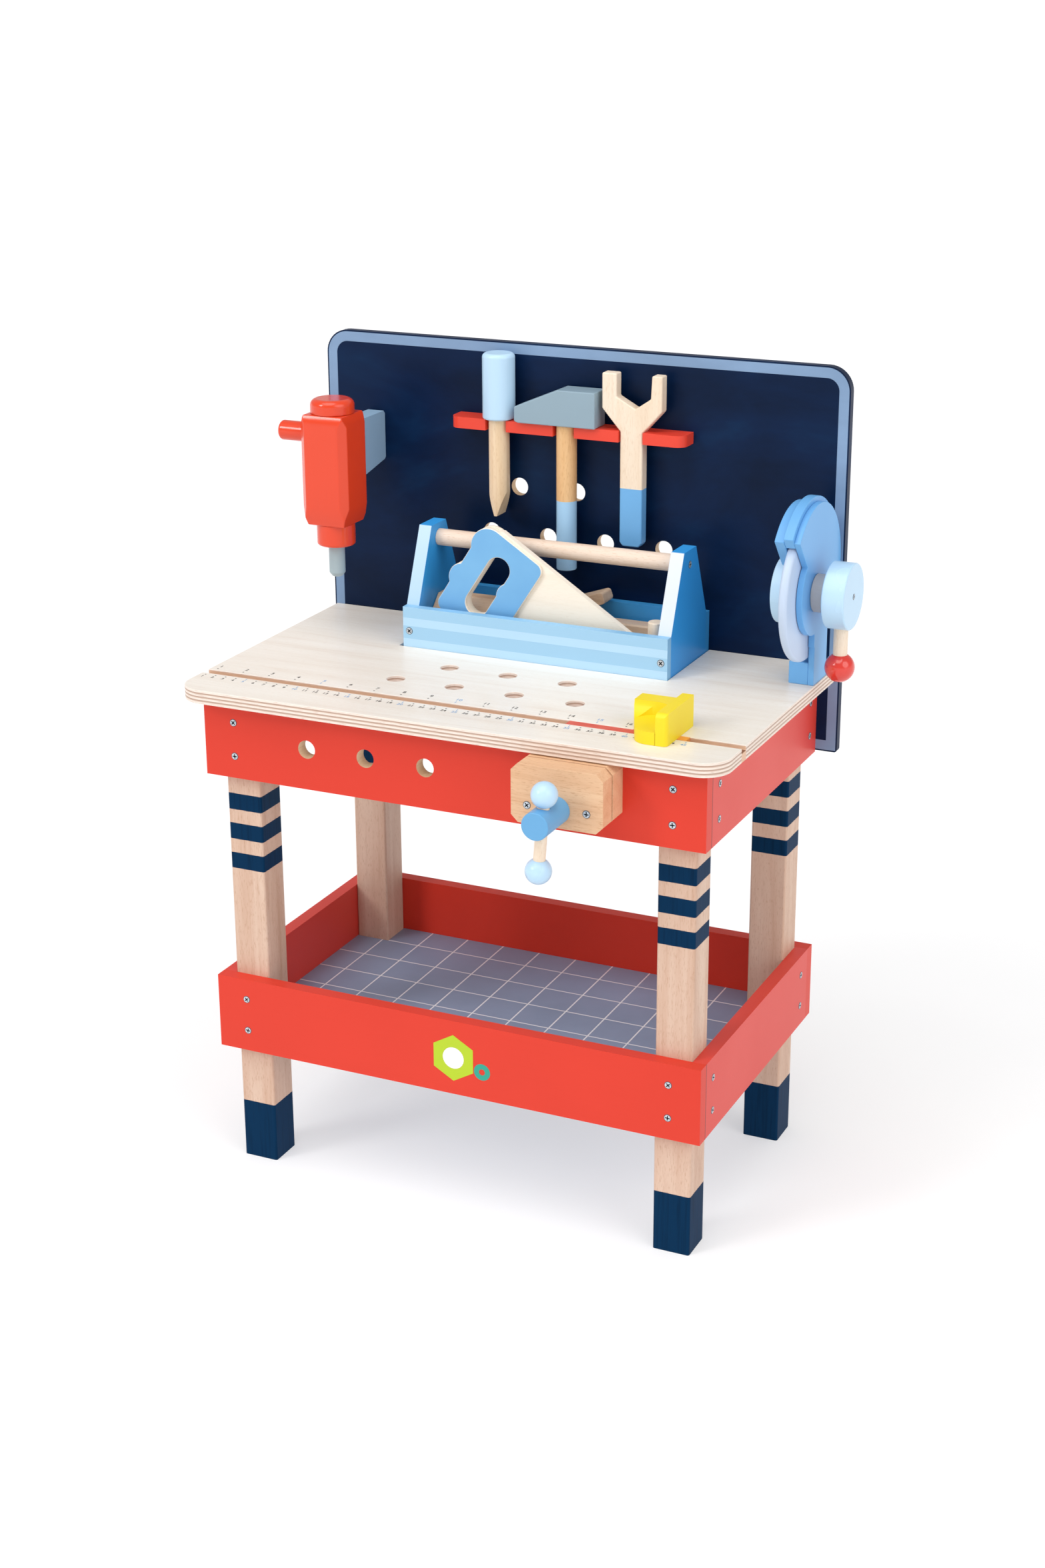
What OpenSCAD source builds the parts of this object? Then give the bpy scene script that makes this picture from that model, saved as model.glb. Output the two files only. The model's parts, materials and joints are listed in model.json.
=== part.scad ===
// Toy workbench: four legs, a storage tray, a plywood worktop with a sliding rule stop, a front vise,
// a tool board with a hand drill, three hanging tools, a crank grinder and a carry box with a saw.
// Millimetres, +X to the right, +Y to the back, +Z up. Z = 0 is the floor.

/* [Frame] */
// Width over the outer faces of the legs
frame_w = 432; // [420:2:440]
// Depth over the outer faces of the legs
frame_d = 254; // [250:1:258]
// Side of the square legs
leg_side = 33; // [30:1:36]
// Radius on the long edges of the legs
leg_edge_r = 2; // [1:0.5:3]
// Thickness of the painted apron and tray boards
board_t = 12; // [10:1:13]
// Height of the painted apron and tray boards
board_h = 68.5; // [66:0.5:72]
// Height of the tray boards above the floor
tray_z = 112.5; // [100:0.5:120]
// Height of the tray floor above the lower edge of its boards
tray_floor_up = 11; // [8:1:20]
// Thickness of the tray floor
tray_floor_t = 5; // [4:1:8]

/* [Worktop] */
// Height of the working surface
top_z = 450; // [440:1:455]
// Thickness of the worktop
top_t = 12; // [10:1:14]
// Width of the worktop
top_w = 491; // [486:1:494]
// Distance from the leg centre line to the front edge of the worktop
top_front = 156.5; // [154:0.5:160]
// Radius of the two front corners of the worktop
top_corner_r = 24; // [15:1:30]
// Width of the rule groove
groove_w = 9.5; // [8:0.5:11]
// Depth of the rule groove
groove_deep = 4; // [4:0.5:5]
// Distance from the leg centre line forward to the middle of the groove
groove_y = 106.2; // [105:0.1:107]
// Depth of the recess that locates the carry box
recess_deep = 5; // [3:0.5:6]

/* [Peg holes] */
// Diameter of every peg hole
peg_hole_d = 16; // [14:0.5:18]
// Distance between neighbouring peg holes in a row
peg_pitch = 55.5; // [50:0.5:58]

/* [Tool board] */
// Width of the tool board
back_w = 495; // [492:1:500]
// Height of the lower edge of the tool board
back_z = 371; // [360:1:380]
// Height of the upper edge of the tool board
back_top = 707; // [700:1:720]
// Thickness of the tool board
back_t = 8; // [6:1:10]
// Radius of the upper corners of the tool board
back_corner_r = 21; // [10:1:30]
// Depth of the tool rack
rack_d = 22.5; // [22:0.5:24]
// Height of the top of the tool rack
rack_top = 642; // [636:1:648]
// Thickness of the tool rack
rack_t = 10; // [8:1:12]

/* [Grinder] */
// Height of the grinder axle
grinder_z = 531.5; // [528:0.5:534]
// Radius of the grinder wheel
wheel_r = 59; // [54:1:59]
// Thickness of the grinder wheel
wheel_t = 7.5; // [5:0.5:7.5]
// Radius of the grinder axle
axle_r = 5; // [4:0.5:6]
// Distance from the axle to the middle of the crank ball
crank_reach = 61.5; // [56:0.5:66]

/* [Vise] */
// Height of the vise screw
vise_z = 403; // [401:0.5:405]
// Width of the vise jaws
jaw_w = 79; // [74:1:82]
// Gap between the jaws when the vise is closed
jaw_gap = 2; // [1:0.5:3]
// Tilt of the clamping bar from upright
bar_tilt = 4.7; // [0:0.1:10]

/* [Carry box] */
// Width of the carry box
box_w = 251; // [249:1:251]
// Height of the side boards of the carry box
box_h = 41; // [36:1:46]
// Height of the carry handle's axis above the working surface
box_handle_up = 89; // [80:1:95]

/* [Clearances] */
// Radial running clearance of the turning axles
run_gap = 0.05; // [0.02:0.01:0.1]
// Gap between pieces that rest or turn against each other
rest_gap = 0.15; // [0.1:0.05:0.4]

/* [Hidden] */
$fn = 72;
hull_fn = 32;
eps = 0.01;
cut = 1;

// Driving planes, measured from the middle of the leg footprint
leg_x = frame_w / 2;
leg_y = frame_d / 2;
board_x = leg_x + board_t;
board_y = leg_y + board_t;
apron_z = top_z - top_t - board_h;
under_z = top_z - top_t;
tray_floor_z = tray_z + tray_floor_up;
leg_mid_x = leg_x - leg_side / 2;
leg_mid_y = leg_y - leg_side / 2;

// Screws
screw_head_r = 3.3;
screw_head_h = 3.2;
screw_shank_r = 1.6;
screw_l = 24;
screw_low = 19.5;
screw_high = 49.5;

// Peg hole rows: position of the row's middle and number of holes
top_rows = [[-2, -60, 4], [-2, -13.5, 3]];
back_rows = [[0, 535.5, 4], [0, 579, 3]];
apron_row = [-73.5, apron_z + 35.5, 3];

// Tools on the rack
tool_y = leg_y - 15;
rack_x = [-113, 109];
slot_x = [-68.3, -3.2, 59.8];
tool_slot_w = 20;
wrench_slot_w = 22.6;
wrench_t = 11.5;

// Drill
drill_x = -198;
drill_y = 45;
drill_side = 46;
drill_z = [551, 649.5];
drill_edge = 6.5;
drill_spindle_r = 6;
drill_chuck_r = 17.2;
drill_bit_r = 7.2;
drill_handle_end = -250;

// Grinder: layer boundaries from left to right
grind_y = 62.5;
grind_left = 222.5;
guard_left = 230.9;
guard_right = 239.4;
grind_right = 244.6;
grind_front = 64;
grind_back = 97;
guard_y = 65.2;
guard_z = grinder_z + 13.5;
guard_r = 61.3;
ridge_r = guard_r + 4.5;
bearing_r = 36;
crank_x = [257.6, 277.1];
crank_disc_r = 28;
crank_ball_r = 12.65;
crank_mid = (crank_x[0] + crank_x[1]) / 2;
wheel_mid = (guard_left + guard_right) / 2;

// Vise
vise_x = 117.6;
jaw_h = 49.5;
jaw_z = vise_z - 15.5;
jaw_chamfer = 6;
rear_jaw_t = 20;
front_jaw_t = 17.5;
rear_jaw_y = -board_y - rear_jaw_t;
front_jaw_y = rear_jaw_y - jaw_gap - front_jaw_t;
vise_front = -220;
boss_r = 11.5;
vise_screw_r = 6;
guide_r = 4;
guide_dx = 25.5;
bar_y = -205;
bar_r = 4.9;
bar_ball_r = 10.8;
bar_up = 21.7;
bar_down = 42.4;

// Rule slider
slide_foot = [173.5, -117];
slide_foot_r = 15;
slide_left = 146.7;
slide_block_y = -91;
slide_right = 190.8;
slide_fin_t = 9.8;
slide_back = -74.5;
slide_z = top_z + rest_gap;

// Carry box
box_x0 = -124;
box_x1 = box_x0 + box_w;
box_y0 = 28.5;
box_y1 = leg_y - 0.3;
box_z = top_z - recess_deep;
box_side_t = 8;
box_end_t = 12;
box_floor_t = 5;
box_mid_y = (box_y0 + box_y1) / 2;
box_top_z = box_z + box_h;
box_end_top = top_z + 102;
box_handle_r = 7.5;
box_handle_z = top_z + box_handle_up;

// Saw, drawn in its own axes: u along the back of the blade, v across it
saw_tilt = 33;
saw_corner = [-0.4, 527.7];
saw_y = 42.5;
saw_blade_t = 6;
saw_cheek_t = 3.5;
saw_low = -92.8;

// The origin of the whole model: middle of its box in plan, on the floor
origin_x = (drill_handle_end + crank_mid + crank_ball_r) / 2;
origin_y = (vise_front + board_y) / 2;

// ---------- shared shapes ----------

// Moves a shape from the leg footprint's middle to the model's origin
module rig() translate([-origin_x, -origin_y, 0]) children();

// A block between two corners
module block(low, high) translate(low) cube(high - low);

// Cylinders along each axis, from a to b
module rod_x(y, z, a, b, r) translate([a, y, z]) rotate([0, 90, 0]) cylinder(r = r, h = b - a);
module rod_y(x, z, a, b, r) translate([x, b, z]) rotate([90, 0, 0]) cylinder(r = r, h = b - a);
module rod_z(x, y, a, b, r) translate([x, y, a]) cylinder(r = r, h = b - a);

// A flat outline in the X-Z plane, thickened along Y from y0 to y1
module plate_xz(y0, y1) translate([0, y1, 0]) rotate([90, 0, 0]) linear_extrude(height = y1 - y0) children();

// A flat outline in the Y-Z plane, thickened along X from x0 to x1
module plate_yz(x0, x1)
    translate([x0, 0, 0]) rotate([90, 0, 90]) linear_extrude(height = x1 - x0) children();

// A rectangle with true arcs at its corners: r_low for the lower pair, r_high for the upper pair
module round_rect(low, high, r_low, r_high) {
    difference() {
        translate(low) square(high - low);
        for (s = [[0, 0, r_low], [1, 0, r_low], [0, 1, r_high], [1, 1, r_high]]) if (s[2] > 0) {
            corner = [s[0] == 0 ? low[0] : high[0], s[1] == 0 ? low[1] : high[1]];
            inward = [s[0] == 0 ? 1 : -1, s[1] == 0 ? 1 : -1];
            difference() {
                translate(corner) square(2 * s[2], center = true);
                translate([corner[0] + inward[0] * s[2], corner[1] + inward[1] * s[2]]) circle(r = s[2]);
                translate([corner[0] + inward[0] * s[2] * 1.5, corner[1]]) square([s[2], 4 * s[2]], center = true);
                translate([corner[0], corner[1] + inward[1] * s[2] * 1.5]) square([4 * s[2], s[2]], center = true);
            }
        }
    }
}

// Half profile of a turned puck: radius r, from 0 to h, with edges rounded by e_low and e_high
module puck_profile(r, h, e_low, e_high) {
    translate([0, e_low]) square([r, h - e_low - e_high]);
    square([r - max(e_low, e_high), h]);
    if (e_low > 0) translate([r - e_low, e_low]) intersection() {
        circle(r = e_low);
        translate([-e_low, -e_low]) square([2 * e_low, e_low + eps]);
    }
    if (e_high > 0) translate([r - e_high, h - e_high]) intersection() {
        circle(r = e_high);
        translate([-e_high, -eps]) square([2 * e_high, e_high + eps]);
    }
    if (e_low > 0) square([r - e_low, e_low + eps]);
    if (e_high > 0) translate([0, h - e_high]) square([r - e_high, e_high]);
}
module puck(r, h, e_low, e_high) rotate_extrude() puck_profile(r, h, e_low, e_high);

// Rotations that point a +Z shape along another direction
function facing(dir) = dir == "-x" ? [0, -90, 0] : dir == "+x" ? [0, 90, 0]
    : dir == "-y" ? [90, 0, 0] : dir == "+y" ? [-90, 0, 0] : [0, 0, 0];

// A countersunk screw: its head lies flush at the origin and it points along -Z
module screw(length) rotate_extrude() polygon([[0, 0], [screw_head_r, 0],
    [screw_shank_r, -screw_head_h], [screw_shank_r, -length], [0, -length]]);
module screw_at(p, out, length = screw_l) translate(p) rotate(facing(out)) screw(length);

// ---------- screws of the frame ----------

module side_pair(sign_x) for (sy = [-1, 1], h = [screw_low, screw_high], z0 = [tray_z, apron_z])
    screw_at([sign_x * board_x, sy * leg_mid_y, z0 + h], sign_x < 0 ? "-x" : "+x");
module front_pair(z0) for (sx = [-1, 1], h = [screw_low, screw_high])
    screw_at([sx * leg_mid_x, -board_y, z0 + h], "-y");
module tray_rear_pair() for (sx = [-1, 1], h = [screw_low, screw_high])
    screw_at([sx * leg_mid_x, board_y, tray_z + h], "+y");
module all_frame_screws() {
    side_pair(-1);
    side_pair(1);
    front_pair(tray_z);
    front_pair(apron_z);
    tray_rear_pair();
}

// Screws through the tool board: into the rear legs, the rack, the drill bracket
module all_back_screws() {
    back = leg_y + back_t;
    for (sx = [-1, 1], h = [screw_low, screw_high])
        screw_at([sx * leg_mid_x, back, apron_z + h], "+y");
    for (x = [rack_x[0] + 12, (slot_x[0] + slot_x[1]) / 2, (slot_x[1] + slot_x[2]) / 2, rack_x[1] - 12])
        screw_at([x, back, rack_top - rack_t / 2], "+y");
    for (z = [600, 624]) screw_at([drill_x, back, z], "+y");
}

// ---------- frame ----------

module leg(sx, sy) rig() color("#DDBBA4") difference() {
    linear_extrude(height = under_z) round_rect(
        [min(sx * leg_x, sx * (leg_x - leg_side)), min(sy * leg_y, sy * (leg_y - leg_side))],
        [max(sx * leg_x, sx * (leg_x - leg_side)), max(sy * leg_y, sy * (leg_y - leg_side))],
        leg_edge_r, leg_edge_r);
    all_frame_screws();
    all_back_screws();
}
module leg_front_left() leg(-1, -1);
module leg_front_right() leg(1, -1);
module leg_rear_left() leg(-1, 1);
module leg_rear_right() leg(1, 1);

module apron_front() rig() color("#E64C33") difference() {
    block([-board_x, -board_y, apron_z], [board_x, -leg_y, under_z]);
    all_frame_screws();
    for (i = [-1, 0, 1])
        rod_y(apron_row[0] + i * peg_pitch, apron_row[1], -board_y - cut, -leg_y + cut, peg_hole_d / 2);
    vise_passages(-board_y - cut, -leg_y + cut);
}
module apron_side(sx) rig() color("#E64C33") difference() {
    block([min(sx * leg_x, sx * board_x), -leg_y, apron_z], [max(sx * leg_x, sx * board_x), leg_y, under_z]);
    all_frame_screws();
}
module apron_left() apron_side(-1);
module apron_right() apron_side(1);

module tray_long_board(y0, y1) rig() color("#E64C33") difference() {
    block([-board_x, y0, tray_z], [board_x, y1, tray_z + board_h]);
    all_frame_screws();
}
module tray_front_board() tray_long_board(-board_y, -leg_y);
module tray_rear_board() tray_long_board(leg_y, board_y);
module tray_side_board(sx) rig() color("#E64C33") difference() {
    block([min(sx * leg_x, sx * board_x), -leg_y, tray_z],
          [max(sx * leg_x, sx * board_x), leg_y, tray_z + board_h]);
    all_frame_screws();
}
module tray_left_board() tray_side_board(-1);
module tray_right_board() tray_side_board(1);

module tray_floor() rig() color("#8A8FA2") difference() {
    block([-leg_x, -leg_y, tray_floor_z], [leg_x, leg_y, tray_floor_z + tray_floor_t]);
    for (sx = [-1, 1], sy = [-1, 1]) translate([sx * leg_x, sy * leg_y, tray_floor_z - cut])
        linear_extrude(height = tray_floor_t + 2 * cut) square(2 * leg_side, center = true);
}

module frame_screws() rig() color("silver") {
    all_frame_screws();
    all_back_screws();
}

// ---------- worktop ----------

module peg_row(row) for (i = [0 : row[2] - 1])
    translate([row[0] + (i - (row[2] - 1) / 2) * peg_pitch, row[1]]) children();

module worktop() rig() color("#EFE5D8") difference() {
    translate([0, 0, under_z]) linear_extrude(height = top_t)
        round_rect([-top_w / 2, -top_front], [top_w / 2, leg_y], top_corner_r, 0);
    for (row = top_rows) peg_row(row)
        translate([0, 0, under_z - cut]) cylinder(d = peg_hole_d, h = top_t + 2 * cut);
    block([-top_w, -groove_y - groove_w / 2, top_z - groove_deep],
          [top_w, -groove_y + groove_w / 2, top_z + cut]);
    block([box_x0 - 4.5, box_y0 - 0.3, top_z - recess_deep], [box_x1 + 0.4, leg_y + cut, top_z + cut]);
}

// ---------- tool board and rack ----------

module backboard() rig() color("#0B1E3A") difference() {
    plate_xz(leg_y, leg_y + back_t)
        round_rect([-back_w / 2, back_z], [back_w / 2, back_top], 2.5, back_corner_r);
    for (row = back_rows) for (i = [0 : row[2] - 1])
        rod_y(row[0] + (i - (row[2] - 1) / 2) * peg_pitch, row[1],
              leg_y - cut, leg_y + back_t + cut, peg_hole_d / 2);
    all_back_screws();
}

module rack_slot(x, w, round_end) {
    y_end = round_end ? tool_y : tool_y + wrench_t / 2 + 1;
    translate([x - w / 2, leg_y - rack_d - cut]) square([w, y_end - leg_y + rack_d + cut]);
    if (round_end) translate([x, y_end]) circle(d = w);
}
module tool_rack() rig() color("#E64C33") difference() {
    translate([0, 0, rack_top - rack_t]) linear_extrude(height = rack_t) difference() {
        round_rect([rack_x[0], leg_y - rack_d], [rack_x[1], leg_y], 9, 0);
        rack_slot(slot_x[0], tool_slot_w, true);
        rack_slot(slot_x[1], tool_slot_w, true);
        rack_slot(slot_x[2], wrench_slot_w, false);
    }
    all_back_screws();
}

// ---------- hanging tools ----------

sd_r = 14.5;
sd_shaft_r = 9.2;
tool_rest_z = rack_top + rest_gap;

module screwdriver_handle() rig() color("#B5DCF7")
    translate([slot_x[0], tool_y, tool_rest_z]) puck(sd_r, 58, 2, 4);
module screwdriver_shaft() rig() color("#E6C6A0") intersection() {
    rod_z(slot_x[0], tool_y, 556, tool_rest_z, sd_shaft_r);
    plate_xz(tool_y - sd_r, tool_y + sd_r) translate([slot_x[0], 0]) polygon([
        [-sd_shaft_r - 1, tool_rest_z + cut], [-sd_shaft_r - 1, 582], [-1.2, 556 - eps],
        [1.2, 556 - eps], [sd_shaft_r + 1, 582], [sd_shaft_r + 1, tool_rest_z + cut]]);
}

hammer_t = 24;
module hammer_head() rig() color("#7E95A0") difference() {
    plate_xz(tool_y - hammer_t / 2, tool_y + hammer_t / 2) polygon([
        [-48.5, tool_rest_z + 1.5], [-45, tool_rest_z], [28, tool_rest_z], [28, tool_rest_z + 31.5],
        [-7, tool_rest_z + 31.5], [-48.5, tool_rest_z + 14]]);
    rod_z(slot_x[1], tool_y, tool_rest_z - cut, tool_rest_z + 20, 9);
}
module hammer_handle() rig() color("#E2B98B")
    rod_z(slot_x[1], tool_y, 513, tool_rest_z + 20, 9);

// The wrench hangs by the sloping shoulders under its jaws
module wrench() rig() color("#E9CBA6") plate_xz(tool_y - wrench_t / 2, tool_y + wrench_t / 2)
    translate([slot_x[2], 0])
        polygon([[-7.5, 540.5], [7.5, 540.5], [10.4, 544], [10.4, tool_rest_z - 0.95],
                 [28, 660.5], [28, 691], [18.5, 691], [17.5, 671], [3.5, 661.5], [-14, 671],
                 [-14, 691], [-27.5, 691], [-27.5, 660.5], [-10.4, tool_rest_z - 0.95], [-10.4, 544]]);

// ---------- drill ----------

module chamfered_rect(low, high, c) polygon([
    [low[0] + c, low[1]], [high[0] - c, low[1]], [high[0], low[1] + c], [high[0], high[1] - c],
    [high[0] - c, high[1]], [low[0] + c, high[1]], [low[0], high[1] - c], [low[0], low[1] + c]]);

// Side outline of the drill body: short bevel above, long bevel below
module drill_outline(mid) translate([mid, 0]) polygon([
    [-drill_side / 2 + 5, drill_z[0]], [drill_side / 2 - 5, drill_z[0]],
    [drill_side / 2, drill_z[0] + 17], [drill_side / 2, drill_z[1] - 9],
    [drill_side / 2 - 4, drill_z[1]], [-drill_side / 2 + 4, drill_z[1]],
    [-drill_side / 2, drill_z[1] - 9], [-drill_side / 2, drill_z[0] + 17]]);

module drill_body() rig() color("#E8502F") difference() {
    half = drill_side / 2;
    intersection() {
        translate([0, 0, drill_z[0] - cut]) linear_extrude(height = drill_z[1] - drill_z[0] + 2 * cut)
            chamfered_rect([drill_x - half, drill_y - half], [drill_x + half, drill_y + half], drill_edge);
        plate_xz(drill_y - half - cut, drill_y + half + cut) drill_outline(drill_x);
        plate_yz(drill_x - half - cut, drill_x + half + cut) drill_outline(drill_y);
    }
    rod_z(drill_x, drill_y, drill_z[0] - cut, drill_z[1] + cut, drill_spindle_r + run_gap);
}
module drill_bracket() rig() color("#7C9AAE") difference() {
    plate_yz(drill_x - 8, drill_x + 8) polygon([
        [drill_y + drill_side / 2, 581.5], [drill_y + drill_side / 2, 637],
        [leg_y - 2.5, 637], [leg_y, 634.5], [leg_y, 594.5], [leg_y - 2, 592.6]]);
    all_back_screws();
}
module drill_side_handle() rig() color("#E8502F")
    translate([drill_x - drill_side / 2, drill_y, 630]) rotate([0, -90, 0])
        puck(8.8, drill_x - drill_side / 2 - drill_handle_end, 0, 3);
module drill_knob() rig() color("#E8502F") difference() {
    translate([drill_x, drill_y, drill_z[1] + rest_gap]) puck(19.6, 12.6, 0, 6);
    rod_z(drill_x, drill_y, drill_z[1] - cut, drill_z[1] + 8, drill_spindle_r);
}
module drill_chuck() rig() color("#E8502F") {
    chuck_h = 19.7;
    translate([drill_x, drill_y, drill_z[0] - rest_gap - chuck_h]) difference() {
        union() {
            puck(drill_chuck_r, chuck_h, 2.5, 0);
            cylinder(r = drill_spindle_r, h = drill_z[1] + 8 - drill_z[0] + rest_gap + chuck_h);
        }
        translate([0, 0, -cut]) cylinder(r = drill_bit_r, h = 8 + cut);
    }
}
module drill_bit() rig() color("#9FB0B5") translate([drill_x, drill_y, 0]) rotate_extrude() polygon([
    [0, 502], [4.4, 502], [drill_bit_r, 505.5], [drill_bit_r, drill_z[0] - rest_gap - 11.7],
    [0, drill_z[0] - rest_gap - 11.7]]);

// ---------- grinder ----------

// Space in front of and below the mouth of the guard, in the Y-Z plane
module mouth_cut() polygon([[-3, 606], [38, 558.8], [grind_y, grinder_z], [grind_y, 470], [-20, 470]]);
module guard_disc(r) translate([guard_y, guard_z]) circle(r = r);
module axle_disc(r) translate([grind_y, grinder_z]) circle(r = r);
module below_axle() translate([-20, grinder_z - 100]) square([180, 100]);

module grinder_base() rig() color("#6FB0E6")
    block([grind_left, grind_front, top_z], [guard_right, grind_back, top_z + 19.5]);
module grinder_side_plate() rig() color("#7DB8EA") difference() {
    plate_yz(guard_right, grind_right) union() {
        difference() {
            guard_disc(guard_r);
            mouth_cut();
        }
        axle_disc(bearing_r);
        translate([grind_front, top_z]) square([grind_back - grind_front, grinder_z - top_z]);
    }
    rod_x(grind_y, grinder_z, guard_right - cut, grind_right + cut, axle_r + run_gap);
}
module grinder_guard_core() rig() color("#6FB0E6") plate_yz(guard_left, guard_right) difference() {
    intersection() {
        guard_disc(ridge_r);
        translate([-20, grinder_z]) square([guard_y + guard_r + 20, 100]);
    }
    axle_disc(wheel_r + 2.3);
    mouth_cut();
}
module grinder_guard_plate() rig() color("#6FB0E6") plate_yz(grind_left, guard_left) difference() {
    guard_disc(guard_r);
    mouth_cut();
    axle_disc(bearing_r);
    below_axle();
}
module grinder_wheel() rig() color("#C3D3EA") difference() {
    translate([wheel_mid - wheel_t / 2, grind_y, grinder_z]) rotate([0, 90, 0])
        puck(wheel_r, wheel_t, 3, 3);
    rod_x(grind_y, grinder_z, guard_left - cut, guard_right + cut, axle_r);
}
module grinder_hub() rig() color("#B5DCF7") difference() {
    translate([wheel_mid - wheel_t / 2, grind_y, grinder_z]) rotate([0, -90, 0])
        puck(crank_disc_r, 17.7, 0, 1.5);
    rod_x(grind_y, grinder_z, grind_left - 2, guard_right, axle_r);
}
module grinder_axle() rig() color("#D9B48C")
    rod_x(grind_y, grinder_z, grind_left - 2, crank_x[0] + 10, axle_r);
module grinder_spacer() rig() color("#A0A0A0") difference() {
    rod_x(grind_y, grinder_z, grind_right + rest_gap, crank_x[0], 16);
    rod_x(grind_y, grinder_z, grind_right - cut, crank_x[0] + cut, axle_r);
}
module grinder_crank_disc() rig() color("#B5DCF7") difference() {
    translate([crank_x[0], grind_y, grinder_z]) rotate([0, 90, 0])
        puck(crank_disc_r, crank_x[1] - crank_x[0], 1.5, 1.5);
    rod_x(grind_y, grinder_z, crank_x[0] - cut, crank_x[0] + 10, axle_r);
    rod_z(crank_mid, grind_y, grinder_z - crank_disc_r - cut, grinder_z - 18, 6);
}
module grinder_crank_arm() rig() color("#E9CBA6")
    rod_z(crank_mid, grind_y, grinder_z - crank_reach + 5, grinder_z - 18, 6);
module grinder_crank_ball() rig() color("#E64C33") difference() {
    translate([crank_mid, grind_y, grinder_z - crank_reach]) sphere(r = crank_ball_r);
    rod_z(crank_mid, grind_y, grinder_z - crank_reach + 5, grinder_z, 6);
}

// ---------- vise ----------

// Holes for the screw and the two guide rods, through everything between y0 and y1
module vise_passages(y0, y1) {
    rod_y(vise_x, vise_z, y0, y1, vise_screw_r + 2 * run_gap);
    for (s = [-1, 1]) rod_y(vise_x + s * guide_dx, vise_z, y0, y1, guide_r + 2 * run_gap);
}
module jaw(y0, y1) plate_xz(y0, y1)
    chamfered_rect([vise_x - jaw_w / 2, jaw_z], [vise_x + jaw_w / 2, jaw_z + jaw_h], jaw_chamfer);
module jaw_screws() for (s = [-1, 1]) screw_at([vise_x + s * guide_dx, front_jaw_y, vise_z], "-y", 20);

module vise_rear_jaw() rig() color("#E6BC91") difference() {
    jaw(rear_jaw_y, -board_y);
    vise_passages(rear_jaw_y - cut, -board_y + cut);
}
module vise_front_jaw() rig() color("#E6BC91") difference() {
    jaw(front_jaw_y, front_jaw_y + front_jaw_t);
    rod_y(vise_x, vise_z, front_jaw_y - cut, front_jaw_y + front_jaw_t + cut, vise_screw_r + run_gap);
    for (s = [-1, 1]) rod_y(vise_x + s * guide_dx, vise_z, front_jaw_y + 8,
                            front_jaw_y + front_jaw_t + cut, guide_r);
    jaw_screws();
}
module vise_guide_rods() rig() color("#D9B48C") difference() {
    for (s = [-1, 1]) rod_y(vise_x + s * guide_dx, vise_z, front_jaw_y + 8, -92, guide_r);
    jaw_screws();
}
module vise_jaw_screws() rig() color("silver") jaw_screws();

// Everything on the clamping bar leans with it about the screw's axis
module bar_frame() translate([vise_x, bar_y, vise_z]) rotate([0, bar_tilt, 0]) children();
module vise_screw() rig() color("#6FB0E6") difference() {
    union() {
        translate([vise_x, front_jaw_y - rest_gap, vise_z]) rotate([90, 0, 0])
            puck(boss_r, front_jaw_y - rest_gap - vise_front, 0, 1);
        rod_y(vise_x, vise_z, front_jaw_y - 5, -92, vise_screw_r);
    }
    bar_frame() translate([0, 0, -boss_r - 5]) cylinder(r = bar_r + 0.2, h = 2 * boss_r + 10);
}
module vise_bar() rig() color("#E9CBA6") bar_frame()
    translate([0, 0, -bar_down + 5]) cylinder(r = bar_r, h = bar_down + bar_up - 10);
module vise_bar_balls() rig() color("#B5DCF7") bar_frame() difference() {
    union() {
        translate([0, 0, bar_up]) sphere(r = bar_ball_r);
        translate([0, 0, -bar_down]) sphere(r = bar_ball_r);
    }
    translate([0, 0, -bar_down + 5]) cylinder(r = bar_r, h = bar_down + bar_up - 10);
}

// ---------- rule slider ----------

// The foot's outline: flush with the block's left front corner, round at its own front left corner
module slider_plan_foot() hull() {
    translate([slide_foot[0], slide_foot[1]]) circle(r = slide_foot_r);
    translate([slide_left, slide_block_y - 1]) square([slide_right - slide_fin_t - slide_left, 1]);
    translate([slide_foot[0], slide_foot[1] - slide_foot_r])
        square([slide_right - slide_fin_t - slide_foot[0], slide_foot_r]);
}
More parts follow.
